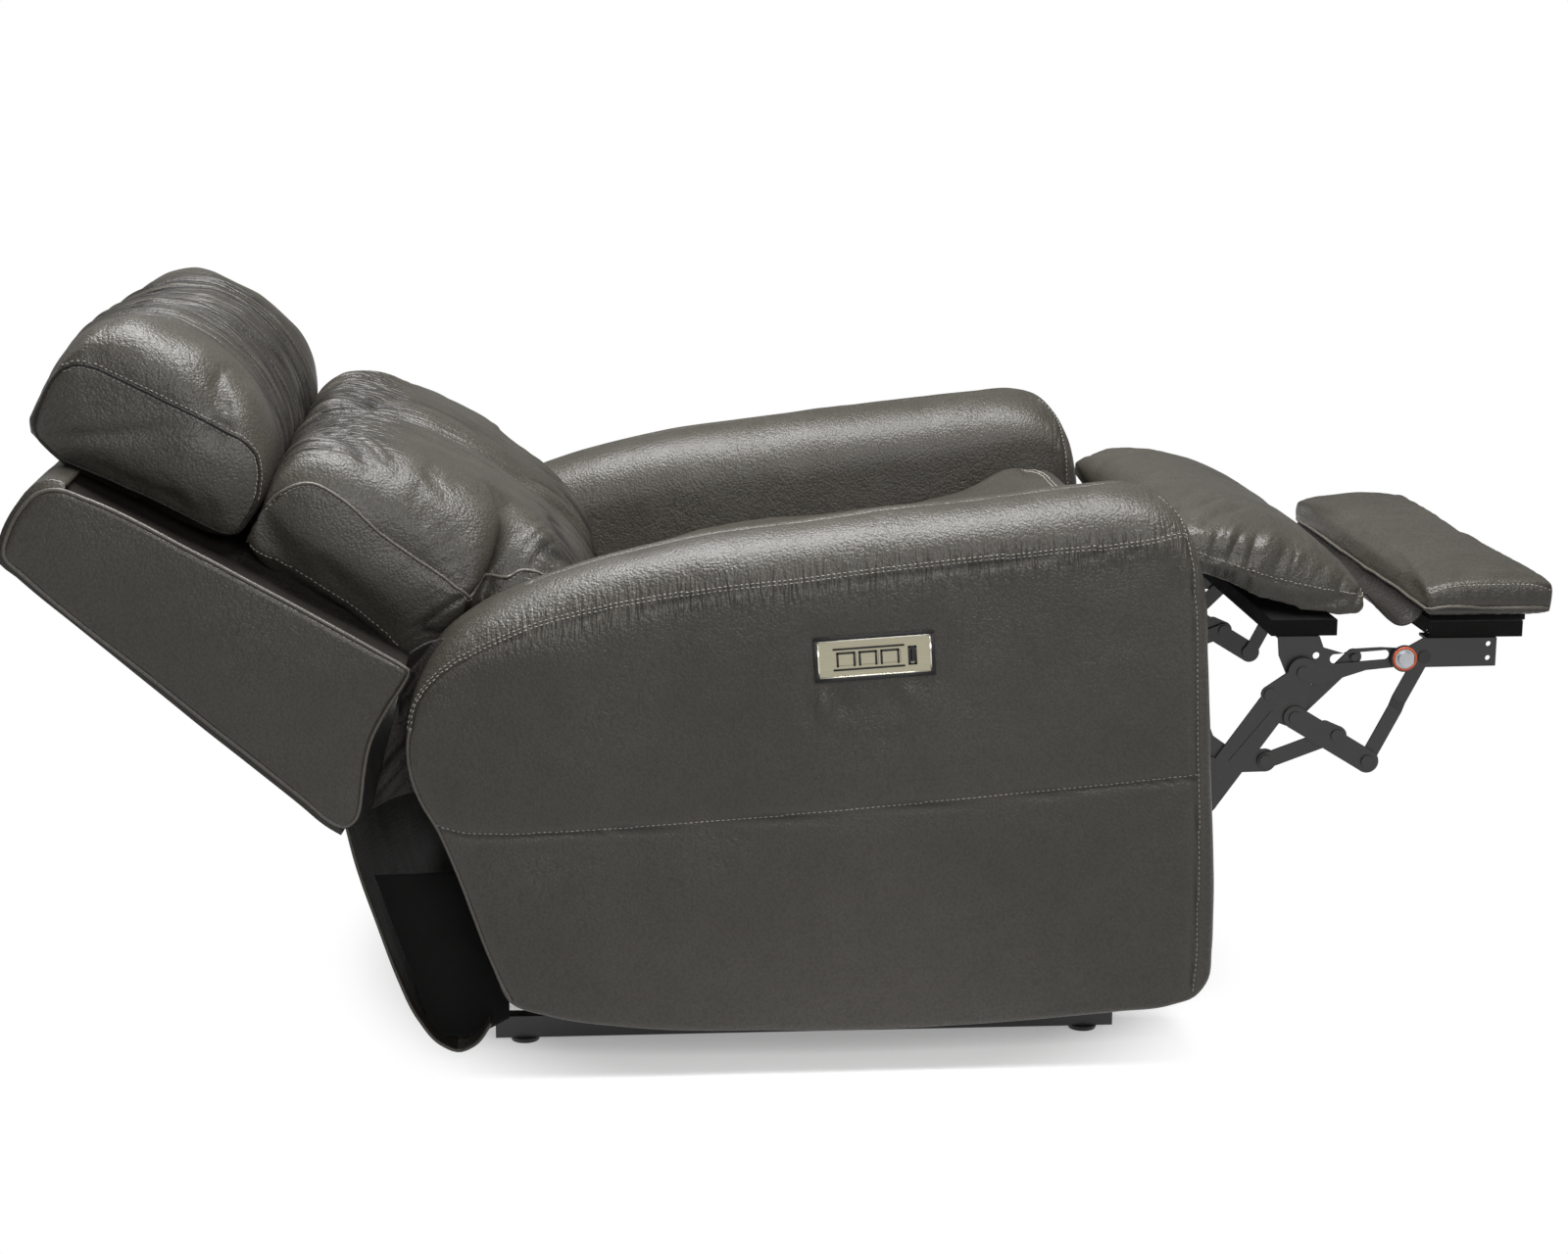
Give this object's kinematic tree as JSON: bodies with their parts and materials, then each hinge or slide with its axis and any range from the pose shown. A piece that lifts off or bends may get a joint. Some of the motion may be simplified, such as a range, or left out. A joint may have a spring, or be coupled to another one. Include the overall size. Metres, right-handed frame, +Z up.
{
  "type": "wall hugger recliner",
  "caption": "Wall hugger power recliner in dark leather, reclined, with forward-riding base, tilting back and headrest, and an open scissor footrest linkage.",
  "frame": {"origin": "centre of the bounding box on the floor plane, in the reclined pose", "axes": "+X forward to the footrest, +Y to the occupant's left, +Z up"},
  "size_m": [1.6527, 0.915, 0.7645],
  "materials": {
    "black_steel": "matte black powder coat",
    "zinc_steel": "zinc plated",
    "black_plastic": "moulded black",
    "timber": "raw plywood and pine",
    "black_felt": "boards under black dust cloth",
    "leather_charcoal": "semi-gloss pebble grain, charcoal",
    "nickel": "satin champagne nickel"
  },
  "bodies": {
    "base": {"floor_rail_left": "black_steel", "floor_rail_right": "black_steel", "base_cross_rear": "black_steel", "base_cross_front": "black_steel", "floor_glides": "black_plastic", "swing_pins": "zinc_steel"},
    "rear_links": {"rear_swing_links": "black_steel"},
    "front_links": {"front_swing_links": "black_steel"},
    "seat": {"side_plate_left": "black_steel", "side_plate_right": "black_steel", "seat_bolts": "zinc_steel", "seat_box": "timber", "seat_deck": "black_felt", "seat_springs": "zinc_steel", "arm_frame_left": "timber", "arm_frame_right": "timber", "arm_cover_left": "leather_charcoal", "arm_cover_right": "leather_charcoal", "seat_cushion": "leather_charcoal", "control_plate": "nickel", "usb_socket": "black_plastic", "drive_motor": "black_plastic", "drive_rail": "zinc_steel", "calf_hinge": "black_steel"},
    "recline_button": {"button_recline": "nickel"},
    "home_button": {"button_home": "nickel"},
    "head_button": {"button_head": "nickel"},
    "nut": {"drive_nut": "black_plastic"},
    "back": {"hinge_plate_left": "black_steel", "hinge_plate_right": "black_steel", "back_frame": "timber", "back_shell": "leather_charcoal", "back_cushion": "leather_charcoal", "headrest_arms": "black_steel", "rear_flap": "leather_charcoal"},
    "headrest": {"headrest_bracket": "black_steel", "headrest_cushion": "leather_charcoal"},
    "drive": {"torque_tube": "black_steel", "drive_link_left": "black_steel", "drive_link_right": "black_steel"},
    "knee": {"knee_plate_left": "black_steel", "knee_plate_right": "black_steel", "knee_rivets": "zinc_steel"},
    "lower": {"lower_link_left": "black_steel", "lower_link_right": "black_steel", "lower_rivets": "zinc_steel"},
    "mid": {"mid_bracket_left": "black_steel", "mid_bracket_right": "black_steel", "calf_board": "black_felt"},
    "slot": {"slot_links": "black_steel"},
    "foot": {"foot_bracket_left": "black_steel", "foot_bracket_right": "black_steel", "foot_bolts": "zinc_steel", "foot_board": "black_felt", "foot_pad": "leather_charcoal"},
    "short": {"short_links": "black_steel"},
    "joggled": {"joggled_link_left": "black_steel", "joggled_link_right": "black_steel"},
    "calf": {"calf_pad": "leather_charcoal"}
  },
  "joints": [
    {"name": "base_swing", "type": "hinge", "parent": "base", "child": "rear_links", "pos_m": [-0.2242, 0, 0.06], "axis": [0, -1, 0], "range_deg": [0, 35.93]},
    {"name": "front_swing", "type": "hinge", "parent": "base", "child": "front_links", "pos_m": [0.22677, 0, 0.06], "axis": [0, -1, 0], "range_deg": [0, 34.34]},
    {"name": "seat_tilt", "type": "hinge", "parent": "rear_links", "child": "seat", "pos_m": [-0.1536, 0, 0.21], "axis": [0, -1, 0], "range_deg": [-39.55, 0]},
    {"name": "recline", "type": "hinge", "parent": "seat", "child": "back", "pos_m": [-0.2786, 0, 0.425], "axis": [0, -1, 0], "range_deg": [-38, 0], "deforming": ["rear_flap"]},
    {"name": "headrest_tilt", "type": "hinge", "parent": "back", "child": "headrest", "pos_m": [-0.56977, 0, 0.60927], "axis": [0, -1, 0], "range_deg": [-28, 0]},
    {"name": "footrest_drive", "type": "hinge", "parent": "seat", "child": "drive", "pos_m": [0.3934, 0, 0.4265], "axis": [0, -1, 0], "range_deg": [-121.88, 0]},
    {"name": "knee_fold", "type": "hinge", "parent": "drive", "child": "knee", "pos_m": [0.4514, 0, 0.285], "axis": [0, -1, 0], "range_deg": [0, 28.36]},
    {"name": "lower_fold", "type": "hinge", "parent": "knee", "child": "lower", "pos_m": [0.5439, 0, 0.336], "axis": [0, -1, 0], "range_deg": [-23.73, 0]},
    {"name": "mid_fold", "type": "hinge", "parent": "knee", "child": "mid", "pos_m": [0.5514, 0, 0.3865], "axis": [0, -1, 0], "range_deg": [-23.77, 0]},
    {"name": "slot_fold", "type": "hinge", "parent": "knee", "child": "slot", "pos_m": [0.5439, 0, 0.336], "axis": [0, -1, 0], "range_deg": [-23.21, 0]},
    {"name": "foot_fold", "type": "hinge", "parent": "mid", "child": "foot", "pos_m": [0.6654, 0, 0.401], "axis": [0, -1, 0], "range_deg": [0, 30.89]},
    {"name": "short_fold", "type": "hinge", "parent": "drive", "child": "short", "pos_m": [0.5134, 0, 0.286], "axis": [0, -1, 0], "range_deg": [0, 37.45]},
    {"name": "joggle_fold", "type": "hinge", "parent": "foot", "child": "joggled", "pos_m": [0.6874, 0, 0.403], "axis": [0, -1, 0], "range_deg": [-19.2, 0]},
    {"name": "calf_fold", "type": "hinge", "parent": "seat", "child": "calf", "pos_m": [0.4024, 0, 0.512], "axis": [0, -1, 0], "range_deg": [-68.03, 0]},
    {"name": "nut_travel", "type": "slide", "parent": "seat", "child": "nut", "axis": [0.998, 0, 0.0628], "range_m": [-0.2005, 0]},
    {"name": "press_recline", "type": "slide", "parent": "seat", "child": "recline_button", "axis": [0, 1, 0], "range_m": [0, 0.0015], "stiffness_N_per_m": 500, "springref_m": -0.0008},
    {"name": "press_home", "type": "slide", "parent": "seat", "child": "home_button", "axis": [0, 1, 0], "range_m": [0, 0.0015], "stiffness_N_per_m": 500, "springref_m": -0.0008},
    {"name": "press_head", "type": "slide", "parent": "seat", "child": "head_button", "axis": [0, 1, 0], "range_m": [0, 0.0015], "stiffness_N_per_m": 500, "springref_m": -0.0008}
  ],
  "couplings": [
    {"joint": "front_swing", "follows": "base_swing", "ratio": 0.95519},
    {"joint": "seat_tilt", "follows": "base_swing", "ratio": -1.1002},
    {"joint": "knee_fold", "follows": "footrest_drive", "ratio": -0.23261},
    {"joint": "lower_fold", "follows": "footrest_drive", "ratio": 0.19462},
    {"joint": "mid_fold", "follows": "footrest_drive", "ratio": 0.19495},
    {"joint": "slot_fold", "follows": "footrest_drive", "ratio": 0.19035},
    {"joint": "foot_fold", "follows": "footrest_drive", "ratio": -0.25336},
    {"joint": "short_fold", "follows": "footrest_drive", "ratio": -0.30711},
    {"joint": "joggle_fold", "follows": "footrest_drive", "ratio": 0.15745},
    {"joint": "calf_fold", "follows": "footrest_drive", "ratio": 0.55793},
    {"joint": "nut_travel", "follows": "footrest_drive", "m_per_rad": 0.09402}
  ]
}
